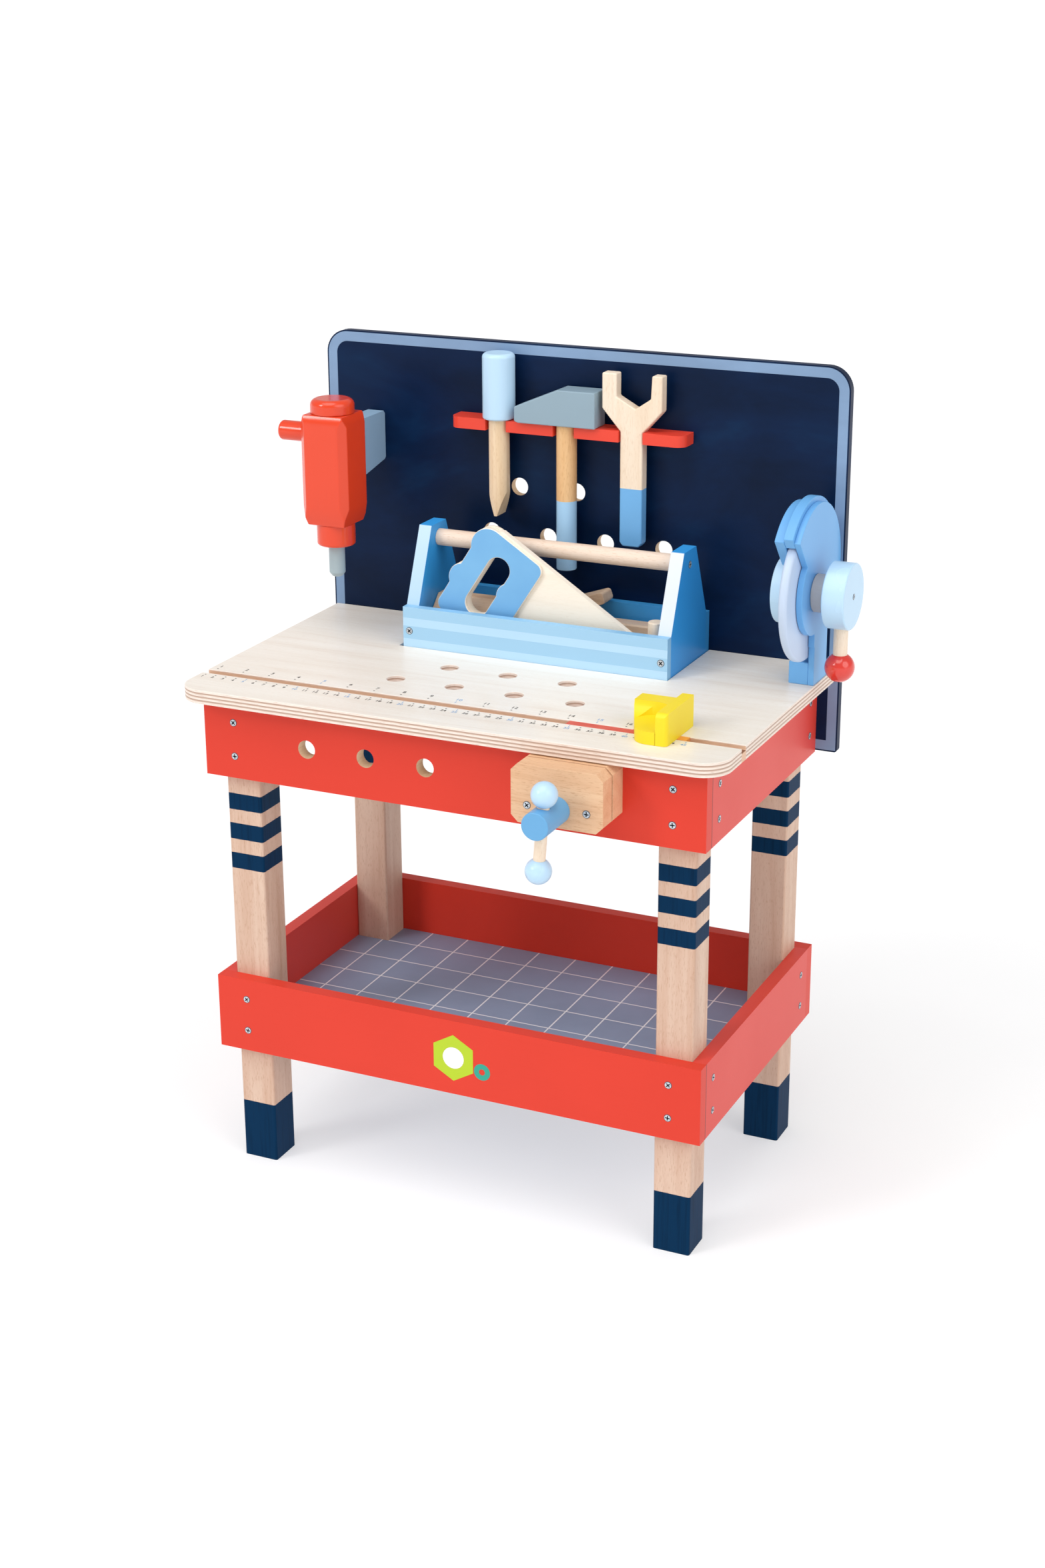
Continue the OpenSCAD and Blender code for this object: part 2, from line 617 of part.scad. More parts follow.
// The finger plate: rounded where its top and its right side meet its front
module slider_fin() {
    x0 = slide_right - slide_fin_t;
    y0 = slide_foot[1] - slide_foot_r;
    top = top_z + 26.5;
    intersection() {
        translate([0, 0, slide_z]) linear_extrude(height = top - slide_z) hull() {
            translate([slide_right - 4, y0 + 4]) circle(r = 4);
            translate([x0, y0]) square([1, slide_back - y0]);
            translate([slide_right - 1, y0 + 5]) square([1, slide_back - y0 - 5]);
        }
        translate([x0 - 1, 0, 0]) rotate([90, 0, 90]) linear_extrude(height = slide_fin_t + 2) hull() {
            translate([y0 + 5, top - 5]) circle(r = 5);
            translate([y0, slide_z]) square([slide_back - y0, 1]);
            translate([slide_back - 1, slide_z]) square([1, top - slide_z]);
        }
    }
}
module tape_slider() rig() color("#F7DF3C") {
    fin_x = slide_right - slide_fin_t;
    block_top = top_z + 22;
    scoop_r = 14;
    dip_r = block_top - slide_z - 10.5;
    difference() {
        union() {
            translate([0, 0, slide_z]) linear_extrude(height = 10.5) slider_plan_foot();
            slider_fin();
            block([slide_left, slide_block_y, slide_z], [fin_x + 1, slide_back, block_top]);
            intersection() {
                translate([0, 0, slide_z]) linear_extrude(height = 30) slider_plan_foot();
                block([slide_left, slide_block_y - dip_r, slide_z + 5], [fin_x, slide_block_y + 1, block_top]);
            }
            block([fin_x - scoop_r, slide_block_y - scoop_r, slide_z + 5],
                  [fin_x + 1, slide_block_y + 1, block_top]);
        }
        rod_x(slide_block_y - dip_r, block_top, slide_left - 5, fin_x - scoop_r, dip_r);
        rod_z(fin_x - scoop_r, slide_block_y - scoop_r, slide_z + 10.5, top_z + 30, scoop_r);
        block([fin_x - 0.4, slide_foot[1] - 50, slide_z - cut],
              [fin_x, slide_foot[1] - slide_foot_r + 1.6, slide_z + 10.5 + cut]);
    }
}
// The runner lies in the groove; its thin tail is the red tape that shows the length
module tape_runner() rig() color("#E8862E") {
    block([150, -groove_y - groove_w / 2 + 0.3, top_z - groove_deep + 0.3],
          [slide_right + 8, -groove_y + groove_w / 2 - 0.3, slide_z]);
    block([95, -groove_y - groove_w / 2 + 0.3, top_z - 1.2],
          [150 + cut, -groove_y + groove_w / 2 - 0.3, top_z - 0.1]);
}

// ---------- carry box ----------

module box_screws() {
    for (x = [box_x0 + box_end_t / 2, box_x1 - box_end_t / 2]) {
        screw_at([x, box_y0, top_z + 14.3], "-y", 20);
        screw_at([x, box_y1, top_z + 14.3], "+y", 20);
    }
    screw_at([box_x0, box_mid_y, box_handle_z], "-x", 24);
    screw_at([box_x1, box_mid_y, box_handle_z], "+x", 24);
}
module box_side(y0, y1) rig() difference() {
    block([box_x0, y0, box_z], [box_x1, y1, box_top_z]);
    box_screws();
}
module toolbox_front() color("#8FC4EE") box_side(box_y0, box_y0 + box_side_t);
module toolbox_back() color("#6FB0E6") box_side(box_y1 - box_side_t, box_y1);
module box_end(x0) rig() color("#7DB8EA") difference() {
    y0 = box_y0 + box_side_t;
    y1 = box_y1 - box_side_t;
    plate_yz(x0, x0 + box_end_t) polygon([[y0, box_z], [y1, box_z], [y1, box_top_z],
        [box_mid_y + 14, box_end_top], [box_mid_y - 14, box_end_top], [y0, box_top_z]]);
    box_screws();
}
module toolbox_left_end() box_end(box_x0);
module toolbox_right_end() box_end(box_x1 - box_end_t);
module toolbox_floor() rig() color("#E8D9C4")
    block([box_x0 + box_end_t, box_y0 + box_side_t, box_z],
          [box_x1 - box_end_t, box_y1 - box_side_t, box_z + box_floor_t]);
module toolbox_handle() rig() color("#E9CBA6") difference() {
    rod_x(box_mid_y, box_handle_z, box_x0 + box_end_t, box_x1 - box_end_t, box_handle_r);
    box_screws();
}
module toolbox_screws() rig() color("silver") box_screws();

// ---------- saw ----------

module saw_axes() translate(saw_corner) rotate(-saw_tilt) children();
module saw_grip_hole() for (p = [[-29.5, -22.5], [-29.5, -61]]) translate(p) circle(r = 11);
module saw_grip_slot() difference() {
    union() {
        saw_grip_hole();
        translate([-40.5, -61]) square([22, 38.5]);
    }
    translate([-7.5, -37]) circle(r = 13);
}
module saw_cheek() difference() {
    union() {
        round_rect([-36, saw_low], [5, 5.6], 8, 8);
        round_rect([-61, -88], [-20, -10], 8, 0);
        translate([-47.5, -11.5]) circle(r = 17);
        translate([-47.5, -12]) square([20, 17.5]);
        translate([-52.5, -50.5]) circle(r = 13.5);
    }
    saw_grip_slot();
}
module saw_blade() rig() color("#F2E2C6") plate_xz(saw_y + saw_cheek_t, saw_y + saw_cheek_t + saw_blade_t)
    saw_axes() difference() {
        union() {
            polygon([[-45, 7.5], [113, 7.5], [116, 4.5], [116, -17], [2, -60], [-50, -60], [-50, 4]]);
            round_rect([-58.5, -85.5], [2.5, 3], 6, 6);
        }
        saw_grip_slot();
        for (i = [0 : 10]) translate([12 + i * 9.5, -61 + (12 + i * 9.5) * 0.3816])
            rotate(20.9) rotate(45) square(3.6, center = true);
    }
module saw_handle() rig() color("#7DB8EA") for (y = [saw_y, saw_y + saw_cheek_t + saw_blade_t])
    plate_xz(y, y + saw_cheek_t) saw_axes() saw_cheek();

// ---------- loose wood in the carry box ----------

// A bar lies on the floor of the box and a plank leans on its end
lean = 19;
bar_end = [-5, 98];
bar_h = 23.2;
plank_low = [bar_end[0] - bar_h / tan(lean), 108];
plank_l = 119;
wood_z = box_z + box_floor_t + rest_gap;
module wood_plank() rig() color("#E2B98B")
    translate([plank_low[0], plank_low[1], wood_z + 0.2]) rotate([0, -lean, 0])
        rotate([90, 0, 0]) linear_extrude(height = 20, center = true) round_rect([0, 0], [plank_l, 10.5], 3, 3);
module wood_bar() rig() color("#E9CBA6") plate_yz(bar_end[0], bar_end[0] + 90)
    round_rect([bar_end[1], wood_z], [bar_end[1] + 16, wood_z + bar_h - 0.3], 2, 2);
module wood_block() rig() color("#E2B98B") plate_yz(box_x0 + box_end_t + 0.3, -55) polygon([
    [61, wood_z], [61, wood_z + 27], [73, wood_z + 38.7], [85, wood_z + 38.7], [85, wood_z]]);
module wood_peg() rig() color("#E2B98B") translate([107, 52, wood_z]) puck(7, 43, 1, 1);

leg_front_left();
leg_front_right();
leg_rear_left();
leg_rear_right();
apron_front();
apron_left();
apron_right();
tray_front_board();
tray_rear_board();
tray_left_board();
tray_right_board();
tray_floor();
worktop();
backboard();
tool_rack();
frame_screws();
toolbox_front();
toolbox_back();
toolbox_left_end();
toolbox_right_end();
toolbox_floor();
toolbox_handle();
toolbox_screws();
saw_blade();
saw_handle();
wood_plank();
wood_bar();
wood_block();
wood_peg();
screwdriver_handle();
screwdriver_shaft();
hammer_head();
hammer_handle();
wrench();
drill_bracket();
drill_body();
drill_side_handle();
drill_knob();
drill_chuck();
drill_bit();
grinder_base();
grinder_side_plate();
grinder_guard_core();
grinder_guard_plate();
grinder_wheel();
grinder_axle();
grinder_spacer();
grinder_hub();
grinder_crank_disc();
grinder_crank_arm();
grinder_crank_ball();
vise_rear_jaw();
vise_front_jaw();
vise_guide_rods();
vise_screw();
vise_bar();
vise_bar_balls();
vise_jaw_screws();
tape_slider();
tape_runner();
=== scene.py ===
import json
import math

import bmesh
import bpy
from mathutils import Matrix, Vector


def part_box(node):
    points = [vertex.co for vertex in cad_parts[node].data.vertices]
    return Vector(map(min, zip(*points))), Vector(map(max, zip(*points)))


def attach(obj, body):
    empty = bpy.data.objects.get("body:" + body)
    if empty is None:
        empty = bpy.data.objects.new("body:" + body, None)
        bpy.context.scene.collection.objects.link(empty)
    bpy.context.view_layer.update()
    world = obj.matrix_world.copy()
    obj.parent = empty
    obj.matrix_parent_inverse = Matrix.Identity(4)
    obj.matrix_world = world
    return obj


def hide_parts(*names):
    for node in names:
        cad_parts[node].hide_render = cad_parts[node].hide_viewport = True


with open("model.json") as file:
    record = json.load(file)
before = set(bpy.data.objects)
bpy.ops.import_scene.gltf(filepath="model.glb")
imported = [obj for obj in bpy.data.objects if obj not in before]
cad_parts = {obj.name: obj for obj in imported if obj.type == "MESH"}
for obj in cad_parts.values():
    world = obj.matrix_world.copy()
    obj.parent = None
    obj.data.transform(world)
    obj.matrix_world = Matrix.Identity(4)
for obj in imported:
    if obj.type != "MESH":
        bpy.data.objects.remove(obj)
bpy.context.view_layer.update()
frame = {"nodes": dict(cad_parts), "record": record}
NODES = frame["nodes"]
MM = 0.001
WELD = 3e-6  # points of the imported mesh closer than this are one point

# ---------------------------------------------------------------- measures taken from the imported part
top_lo, top_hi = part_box("worktop")
back_lo, back_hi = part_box("backboard")
runner_lo, runner_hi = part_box("tape_runner")
tray_front_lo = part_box("tray_front_board")[0]
leg_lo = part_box("leg_front_left")[0]
TOP_Z = top_hi.z
MID_X = (top_lo.x + top_hi.x) / 2
LEG_MID_Y = (leg_lo.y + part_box("leg_rear_left")[1].y) / 2
GROOVE_Y = (runner_lo.y + runner_hi.y) / 2
GROOVE_HALF = (runner_hi.y - runner_lo.y) / 2 + 0.3 * MM
MOUNTS = {m["name"]: m for m in frame["record"]["mounts"]}
HOLE_R = MOUNTS["worktop_peg_hole_front_1"]["dims"]["r_mm"] * MM
LEGS = ("front_left", "front_right", "rear_left", "rear_right")

# ---------------------------------------------------------------- measures of the printed and painted details
# Painted foot and bands on the legs: lower and upper edge above the floor.
LEG_BANDS = ((-1, 55.4), (280.5, 295.5), (307.9, 323.0), (335.2, 350.4))
BORDER_IN, BORDER_OUT = 1.2 * MM, 10.1 * MM  # the tool board's border, measured from the board's edge
BORDER_CORNER = 21 * MM
GRID_PITCH, GRID_HALF_LINE = 37.8 * MM, 0.55 * MM
JOINT_SHADOW = (-1.6 * MM, 1.1 * MM)  # the painted shadow line in the joint on the side boards, from the front of the legs
TAPE_END_BACK = 12 * MM  # the orange tape starts this far left of the slider's right end
HAMMER_SPLIT, WRENCH_SPLIT = 575 * MM, 591.7 * MM  # height where the wood meets the paint
# Printed rule: start left of the middle, pitch, number of marks, row from the groove, radius of the dots,
# size of the numbers, numbers from the row.
CM_MARKS = (249.8 * MM, 10 * MM, 45, -9.0 * MM, 0.75 * MM, 5.2 * MM, -5.2 * MM)
INCH_MARKS = (264.1 * MM, 25.4 * MM, 17, 9.2 * MM, 0.8 * MM, 6.0 * MM, 6.3 * MM)
PRINT_LIFT = 0.06 * MM
DASH_HALF = (0.35 * MM, 1.7 * MM)
FIVES = 5  # every fifth mark is a blue dash with a blue number
CRISP, FINE = 0.3 * MM, 0.2 * MM  # how soft a painted edge and a printed edge are
BADGE_THICK, BADGE_PROUD = 0.3 * MM, 0.12 * MM


# ---------------------------------------------------------------- colour and material tools
def rgb(code):
    """sRGB hex to linear RGBA."""
    parts = [int(code[i: i + 2], 16) / 255 for i in (0, 2, 4)]
    lin = [c / 12.92 if c <= 0.04045 else ((c + 0.055) / 1.055) ** 2.4 for c in parts]
    return (*lin, 1.0)


MIX_COLOUR_A, MIX_COLOUR_B, MIX_COLOUR_OUT = 6, 7, 2  # the colour sockets of a Mix node, by number
COAT_ROUGHNESS = 0.14


class Graph:
    """A small builder for one procedural material."""

    def __init__(self, name):
        self.mat = bpy.data.materials.new(name)
        self.mat.use_nodes = True
        self.tree = self.mat.node_tree
        self.tree.nodes.clear()
        self.out = self.add("ShaderNodeOutputMaterial")
        self.bsdf = self.add("ShaderNodeBsdfPrincipled")
        self.tree.links.new(self.bsdf.outputs["BSDF"], self.out.inputs["Surface"])
        coord = self.add("ShaderNodeTexCoord")
        self.object = coord.outputs["Object"]
        self.normal = coord.outputs["Normal"]

    def add(self, kind, **inputs):
        """A node with its named inputs set; an underscore stands for a space."""
        node = self.tree.nodes.new(kind)
        for name, value in inputs.items():
            self.put(node.inputs[name.replace("_", " ")], value)
        return node

    def put(self, socket, value):
        """Links another node's output to a socket, or sets the socket's value."""
        if isinstance(value, bpy.types.NodeSocket):
            self.tree.links.new(value, socket)
        else:
            socket.default_value = value

    def math(self, op, a, b=0.0, c=0.0, clamp=False):
        """One step of arithmetic on numbers or sockets."""
        node = self.add("ShaderNodeMath")
        node.operation = op
        node.use_clamp = clamp
        for i, value in enumerate((a, b, c)):
            self.put(node.inputs[i], value)
        return node.outputs[0]

    def xyz(self, vector):
        """The three parts of a vector."""
        node = self.add("ShaderNodeSeparateXYZ", Vector=vector)
        return node.outputs[0], node.outputs[1], node.outputs[2]

    def noise(self, stretch, detail, roughness, distortion=0.0, seed=(0, 0, 0)):
        """Noise in the object's own metres; stretch is cycles a metre, one number or one for each axis."""
        place = self.add("ShaderNodeMapping", Vector=self.object)
        place.inputs["Scale"].default_value = stretch if isinstance(stretch, tuple) else (stretch,) * 3
        place.inputs["Location"].default_value = seed
        node = self.add("ShaderNodeTexNoise", Vector=place.outputs[0], Scale=1.0, Detail=detail,
                        Roughness=roughness, Distortion=distortion)
        return node.outputs["Fac"]

    def ramp(self, fac, stops, mode="LINEAR"):
        """A colour ramp; stops are pairs of position and colour."""
        node = self.add("ShaderNodeValToRGB", Fac=fac)
        node.color_ramp.interpolation = mode
        elements = node.color_ramp.elements
        while len(elements) > 1:
            elements.remove(elements[-1])
        elements[0].position, elements[0].color = stops[0]
        for position, colour in stops[1:]:
            e = elements.new(position)
            e.color = colour
        return node.outputs["Color"]

    def mix(self, fac, a, b, mode="MIX"):
        """Colour a where fac is 0, colour b where it is 1."""
        node = self.tree.nodes.new("ShaderNodeMix")
        node.data_type = "RGBA"
        node.blend_type = mode
        self.put(node.inputs["Factor"], fac)
        self.put(node.inputs[MIX_COLOUR_A], a)
        self.put(node.inputs[MIX_COLOUR_B], b)
        return node.outputs[MIX_COLOUR_OUT]

    def shaded(self, colour, factor):
        """A colour multiplied by one number."""
        return self.mix(1.0, colour, (factor, factor, factor, 1), "MULTIPLY")

    def span(self, value, low, high, soft):
        """1 between low and high, with soft edges."""
        rise = self.math("DIVIDE", self.math("SUBTRACT", value, low), soft, clamp=True)
        fall = self.math("DIVIDE", self.math("SUBTRACT", high, value), soft, clamp=True)
        return self.math("MULTIPLY", rise, fall)

    def above(self, value, level, soft):
        """0 below the level, 1 a soft width above it."""
        return self.math("DIVIDE", self.math("SUBTRACT", value, level), soft, clamp=True)

    def surface(self, colour, roughness, height, strength, distance, coat=0.0, metallic=0.0, specular=0.5):
        """Wires the shader up, with a bump of the given strength and depth, and gives back the material."""
        bump = self.add("ShaderNodeBump", Height=height, Strength=strength, Distance=distance)
        for socket, value in (("Base Color", colour), ("Roughness", roughness), ("Metallic", metallic),
                              ("Specular IOR Level", specular), ("Coat Weight", coat),
                              ("Coat Roughness", COAT_ROUGHNESS), ("Normal", bump.outputs[0])):
            self.put(self.bsdf.inputs[socket], value)
        return self.mat


AXES = {"X": (1, 0, 0), "Y": (0, 1, 0), "Z": (0, 0, 1)}


def along(axis, long, across):
    """Texture stretch: long lines run along the axis."""
    return tuple(long if a else across for a in AXES[axis])


def wood_colour(g, light, mid, dark, axis, contrast=1.0, seed=(0, 0, 0)):
    """Long grain figure with pores and short flecks."""
    figure = g.noise(along(axis, 6, 70), 6, 0.6, 0.6, seed=seed)
    lines = g.noise(along(axis, 14, 520), 4, 0.6, 0.2, seed=seed)
    fleck = g.noise(along(axis, 190, 1300), 2, 0.5, seed=seed)
    base = g.ramp(figure, [(0.3, light), (0.58, mid), (0.90, dark)])
    lined = g.mix(g.math("MULTIPLY", g.above(lines, 0.54, 0.18), 0.28 * contrast), base, dark)
    flecked = g.mix(g.math("MULTIPLY", g.above(fleck, 0.57, 0.10), 0.42 * contrast), lined, dark)
    height = g.math("ADD", g.math("MULTIPLY", lines, 0.7), g.math("MULTIPLY", fleck, 0.3))
    return flecked, height


BEECH = (rgb("DBBFAB"), rgb("D0AE98"), rgb("B28569"))
BIRCH = (rgb("F4EEE5"), rgb("EFE7DC"), rgb("DECDBD"))
ORANGE_BEECH = (rgb("E9C39D"), rgb("DFB189"), rgb("BF8860"))
PALE_BEECH = (rgb("F5E5D2"), rgb("EED9C1"), rgb("D9BC9D"))


def wood(name, tones, axis, contrast, roughness=0.5):
    """Bare wood with its grain along one axis."""
    g = Graph(name)
    colour, height = wood_colour(g, *tones, axis, contrast)
    rough = g.math("MULTIPLY_ADD", height, 0.18, roughness - 0.08)
    return g.surface(colour, rough, height, 0.25, 0.3 * MM)


def paint_coat(g, colour, axis, roughness, tone=0.10, coat=0.0, grain=1.0, specular=0.35):
    """Paint on wood: slight tone drift, fine roller texture and the grain showing through the film."""
    drift = g.noise(9, 3, 0.5)
    grain_lines = g.noise(along(axis, 16, 420), 4, 0.6)
    skin = g.noise(1500, 2, 0.5)
    darker = g.shaded(colour, 1 - tone)
    tinted = g.mix(g.math("MULTIPLY_ADD", drift, 1.6, -0.3, clamp=True), colour, darker)
    tinted = g.mix(g.math("MULTIPLY", g.above(grain_lines, 0.56, 0.12), 0.18 * grain), tinted, darker)
    height = g.math("ADD", g.math("MULTIPLY", grain_lines, 0.7 * grain), g.math("MULTIPLY", skin, 0.25))
    rough = g.math("MULTIPLY_ADD", drift, 0.12, roughness - 0.06)
    return g.surface(tinted, rough, height, 0.22, 0.25 * MM, coat=coat, specular=specular)


def paint(name, code, axis, **options):
    """Paint of one sRGB colour."""
    g = Graph(name)
    return paint_coat(g, rgb(code), axis, **options)


# ---------------------------------------------------------------- the materials
def leg_material(name, seed):
    """Beech with a painted foot and three painted bands, found by height; their edges waver a little."""
    g = Graph(name)
    colour, height = wood_colour(g, *BEECH, "Z", 1.0, seed)
    z = g.xyz(g.object)[2]
    wobble = g.math("MULTIPLY_ADD", g.noise(260, 2, 0.5), 0.5 * MM, -0.25 * MM)
    level = g.math("ADD", z, wobble)
    masks = [g.span(level, low * MM, high * MM, CRISP) for low, high in LEG_BANDS]
    painted = masks[0]
    for m in masks[1:]:
        painted = g.math("MAXIMUM", painted, m)
    grain = g.noise((420, 420, 16), 4, 0.6)
    navy = g.mix(g.above(grain, 0.5, 0.3), rgb("072E4E"), rgb("05223C"))
    mixed = g.mix(painted, colour, navy)
    rough = g.mix(painted, (0.52, 0.52, 0.52, 1), (0.44, 0.44, 0.44, 1))
    shine = g.math("MULTIPLY_ADD", painted, -0.34, 0.38)
    return g.surface(mixed, rough, height, 0.25, 0.3 * MM, specular=shine)


def worktop_material():
    """Birch plywood: face veneer on top, plies on every edge and in every hole, raw wood on the groove's
    walls and painted shade on its dark floor.
    """
    g = Graph("worktop_plywood")
    face, height = wood_colour(g, *BIRCH, "X", 0.7)
    _, y, z = g.xyz(g.object)
    nz = g.math("ABSOLUTE", g.xyz(g.normal)[2])
    edge = g.math("SUBTRACT", 1.0, g.above(nz, 0.6, 0.2))
    waver = g.noise((14, 14, 90), 3, 0.5)
    depth = g.math("MULTIPLY_ADD", waver, 0.7 * MM, g.math("SUBTRACT", TOP_Z - 0.35 * MM, z))
    ply = g.math("DIVIDE", depth, top_hi.z - top_lo.z)
    light, dark, mid = rgb("EEDED2"), rgb("A98975"), rgb("D0B5A4")
    plies = g.ramp(ply, [(0.0, light), (0.15, light), (0.18, dark), (0.27, mid), (0.30, light), (0.42, light),
                         (0.45, dark), (0.54, mid), (0.57, light), (0.68, light), (0.71, dark), (0.81, mid),
                         (0.84, light), (1.0, light)])
    streak = g.noise((160, 160, 1500), 3, 0.6)
    plies = g.mix(g.math("MULTIPLY", g.above(streak, 0.5, 0.2), 0.35), plies, dark)
    colour = g.mix(edge, face, plies)
    reach = GROOVE_HALF + 0.2 * MM
    sunk = g.math("MULTIPLY", g.span(y, GROOVE_Y - reach, GROOVE_Y + reach, 0.05 * MM),
                  g.math("SUBTRACT", 1.0, g.above(z, TOP_Z - 1.2 * MM, 0.6 * MM)))
    # Painted shade: the groove's floor is dark brown, its walls keep the raw wood's tan.
    groove_floor_shade = g.mix(streak, rgb("8E6248"), rgb("6F4630"))
    walls = g.mix(streak, rgb("E9C6A8"), rgb("D6A98A"))
    raw = g.mix(edge, groove_floor_shade, walls)
    colour = g.mix(sunk, colour, raw)
    rough = g.math("MULTIPLY_ADD", edge, 0.2, 0.42)
    return g.surface(colour, rough, height, 0.12, 0.2 * MM, coat=0.15)


def backboard_material():
    """Painted board: blackboard navy inside a grey-blue printed border, rounded at the upper corners."""
    g = Graph("backboard_paint")
    x, _, z = g.xyz(g.object)
    half = (back_hi.x - back_lo.x) / 2
    centre = (back_lo.x + back_hi.x) / 2
    ax = g.math("ABSOLUTE", g.math("SUBTRACT", x, centre))
    qx = g.math("MAXIMUM", g.math("SUBTRACT", ax, half - BORDER_CORNER), 0.0)
    qz = g.math("MAXIMUM", g.math("SUBTRACT", z, back_hi.z - BORDER_CORNER), 0.0)
    reach = g.math("SQRT", g.math("ADD", g.math("MULTIPLY", qx, qx), g.math("MULTIPLY", qz, qz)))
    inner = g.math("MINIMUM",
                   g.math("MINIMUM", g.math("SUBTRACT", half, ax), g.math("SUBTRACT", back_hi.z, z)),
                   g.math("MINIMUM", g.math("SUBTRACT", BORDER_CORNER, reach),
                          g.math("SUBTRACT", z, back_lo.z)))
    border = g.span(inner, BORDER_IN, BORDER_OUT, FINE)
    front = g.math("SUBTRACT", 1.0, g.above(g.xyz(g.normal)[1], -0.9, 0.1))
    smear = g.noise((7, 7, 16), 4, 0.6, 0.4)
    face = g.ramp(smear, [(0.25, rgb("02142E")), (0.55, rgb("051E40")), (0.85, rgb("093055"))])
    edge_tone = g.ramp(smear, [(0.3, rgb("7690B0")), (0.7, rgb("86A2C4"))])
    colour = g.mix(g.math("MULTIPLY", border, front), face, edge_tone)
    skin = g.noise(900, 2, 0.5)
    rough = g.math("MULTIPLY_ADD", smear, 0.16, 0.30)
    return g.surface(colour, rough, skin, 0.12, 0.2 * MM, specular=g.math("MULTIPLY_ADD", border, 0.2, 0.12))


def side_board_material():
    """Red side boards; a shadow line marks where each one meets the front board behind its lap."""
    g = Graph("red_side_paint")
    # Painted shadow line along the joint, on the outer faces only.
    joint_shadow = g.span(g.xyz(g.object)[1], leg_lo.y + JOINT_SHADOW[0], leg_lo.y + JOINT_SHADOW[1], CRISP)
    outer = g.above(g.math("ABSOLUTE", g.xyz(g.normal)[0]), 0.5, 0.2)
    colour = g.mix(g.math("MULTIPLY", joint_shadow, outer), rgb("DE4236"), rgb("56100E"))
    return paint_coat(g, colour, "Y", roughness=0.42, tone=0.07, specular=0.42)


def tray_floor_material():
    """Grey board with a thin white square grid."""
    g = Graph("tray_floor_print")
    x, y, _ = g.xyz(g.object)

    def lines(value, zero):
        away = g.math("PINGPONG", g.math("SUBTRACT", value, zero), GRID_PITCH / 2)
        return g.math("SUBTRACT", 1.0, g.above(away, GRID_HALF_LINE, FINE))

    grid = g.math("MAXIMUM", lines(x, MID_X), lines(y, LEG_MID_Y + GRID_PITCH / 2))
    up = g.above(g.xyz(g.normal)[2], 0.5, 0.2)
    cloud = g.noise(10, 4, 0.6)
    grey = g.ramp(cloud, [(0.3, rgb("8393B0")), (0.7, rgb("90A0BE"))])
    speck = g.noise(1800, 2, 0.5)
    colour = g.mix(g.math("MULTIPLY", grid, up), grey, rgb("EDEFF4"))
    return g.surface(colour, g.math("MULTIPLY_ADD", cloud, 0.1, 0.38), speck, 0.1, 0.2 * MM)


def striped_material():
    """The carry box's front board: pale and mid blue stripes along its length."""
    g = Graph("box_front_stripes")
    low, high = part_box("toolbox_front")
    z = g.xyz(g.object)[2]
    level = g.math("DIVIDE", g.math("SUBTRACT", z, low.z), high.z - low.z)
    pale, mid = rgb("B7DCF6"), rgb("A1CDEB")
    stripes = g.ramp(level, [(0.0, mid), (0.12, pale), (0.30, mid), (0.58, pale), (0.76, mid)], "CONSTANT")
    front = g.math("SUBTRACT", 1.0, g.above(g.xyz(g.normal)[1], -0.8, 0.2))
    colour = g.mix(front, rgb("8EC4EA"), stripes)
    return paint_coat(g, colour, "X", roughness=0.4, tone=0.05)


def end_panel_material():
    """The carry box's end panels: mid blue faces; the front and rear edges are painted paler as a highlight,
    palest on the right-hand panel.
    """
    g = Graph("end_panel_paint")
    # Painted highlight: the front and rear edges are paler, and paler still on the right-hand panel.
    edge = g.above(g.math("ABSOLUTE", g.xyz(g.normal)[1]), 0.7, 0.15)
    right = g.above(g.xyz(g.object)[0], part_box("toolbox_left_end")[1].x + 50 * MM, 10 * MM)
    colour = g.mix(edge, rgb("3BA3EE"), g.mix(right, rgb("BAD8F2"), rgb("E2EAF6")))
    return paint_coat(g, colour, "Z", roughness=0.33, tone=0.09, specular=0.28)


def tape_material():
    """The runner in the groove: a red tape with an orange end to the right of the slider."""
    g = Graph("tape_paint")
    x = g.xyz(g.object)[0]
    drift = g.noise(60, 3, 0.5)
    red = g.ramp(drift, [(0.3, rgb("D24C38")), (0.7, rgb("DE6A56"))])
    colour = g.mix(g.above(x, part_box("tape_slider")[1].x - TAPE_END_BACK, 0.5 * MM), red, rgb("F0A04A"))
    return g.surface(colour, g.math("MULTIPLY_ADD", drift, 0.15, 0.42), drift, 0.05, 0.2 * MM)


def two_tone(name, tones, split, code):
    """Upright wood above a height, paint below it."""
    g = Graph(name)
    colour, height = wood_colour(g, *tones, "Z")
    painted = g.math("SUBTRACT", 1.0, g.above(g.xyz(g.object)[2], split, CRISP))
    drift = g.noise(30, 3, 0.5)
    tint = g.mix(drift, rgb(code), g.shaded(rgb(code), 0.9))
    rough = g.mix(painted, (0.5, 0.5, 0.5, 1), (0.36, 0.36, 0.36, 1))
    return g.surface(g.mix(painted, colour, tint), rough, height, 0.2, 0.3 * MM, specular=0.35)


def cheek_material():
    """The saw handle's cheeks: blue outer faces, pale raw edges."""
    g = Graph("saw_cheek_paint")
    low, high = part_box("saw_handle")
    side = g.math("SIGN", g.math("SUBTRACT", g.xyz(g.object)[1], (low.y + high.y) / 2))
    face = g.above(g.math("MULTIPLY", g.xyz(g.normal)[1], side), 0.82, 0.1)
    edge, height = wood_colour(g, rgb("FAF1E4"), rgb("F2E5D3"), rgb("E2CFB6"), "X", 0.8)
    drift = g.noise(24, 3, 0.5)
    blue = g.ramp(drift, [(0.3, rgb("76B4E2")), (0.75, rgb("6CAADC"))])
    return g.surface(g.mix(face, edge, blue), 0.42, height, 0.15, 0.2 * MM)


